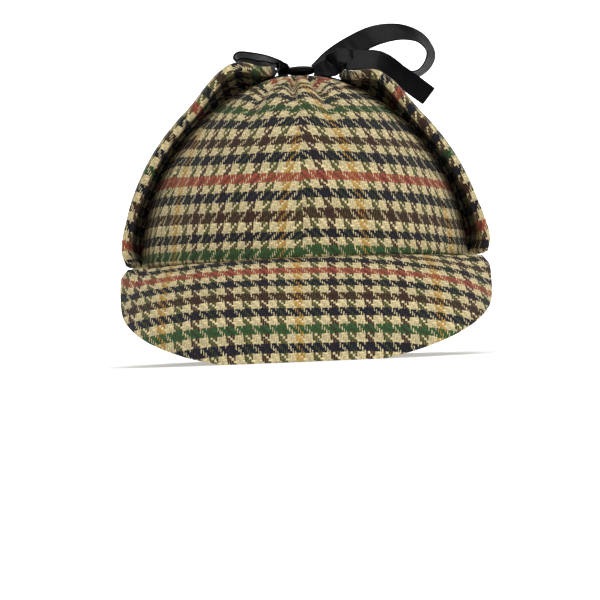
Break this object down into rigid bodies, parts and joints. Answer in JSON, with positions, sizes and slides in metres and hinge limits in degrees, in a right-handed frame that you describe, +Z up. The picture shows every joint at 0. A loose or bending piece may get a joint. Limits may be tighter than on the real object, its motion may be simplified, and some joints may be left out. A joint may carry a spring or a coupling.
{
  "type": "deerstalker hat",
  "caption": "Tweed deerstalker hat with front and back peaks and ear flaps turned up and tied over the crown with a satin ribbon bow.",
  "frame": {"origin": "on the surface that the hat rests on, under the middle of its bounding box", "axes": "+Z up, -Y towards the front peak, +X to the right as seen from the front"},
  "size_m": [0.1845, 0.2844, 0.1732],
  "materials": {
    "crown_tweed": "houndstooth wool tweed, matte",
    "peak_tweed": "houndstooth wool tweed over a stiffener, matte",
    "flap_tweed": "houndstooth wool tweed, padded, matte",
    "ribbon_satin": "black satin ribbon, soft sheen"
  },
  "bodies": {
    "root": {"crown": "crown_tweed", "front_peak": "peak_tweed", "back_peak": "peak_tweed", "ear_flap_left": "flap_tweed", "ear_flap_right": "flap_tweed", "ribbon_knot": "ribbon_satin", "ribbon_loop_left": "ribbon_satin", "ribbon_loop_right": "ribbon_satin", "ribbon_tail_right": "ribbon_satin", "ribbon_tail_back": "ribbon_satin", "ribbon_tie_left": "ribbon_satin", "ribbon_tie_right": "ribbon_satin"}
  },
  "joints": []
}
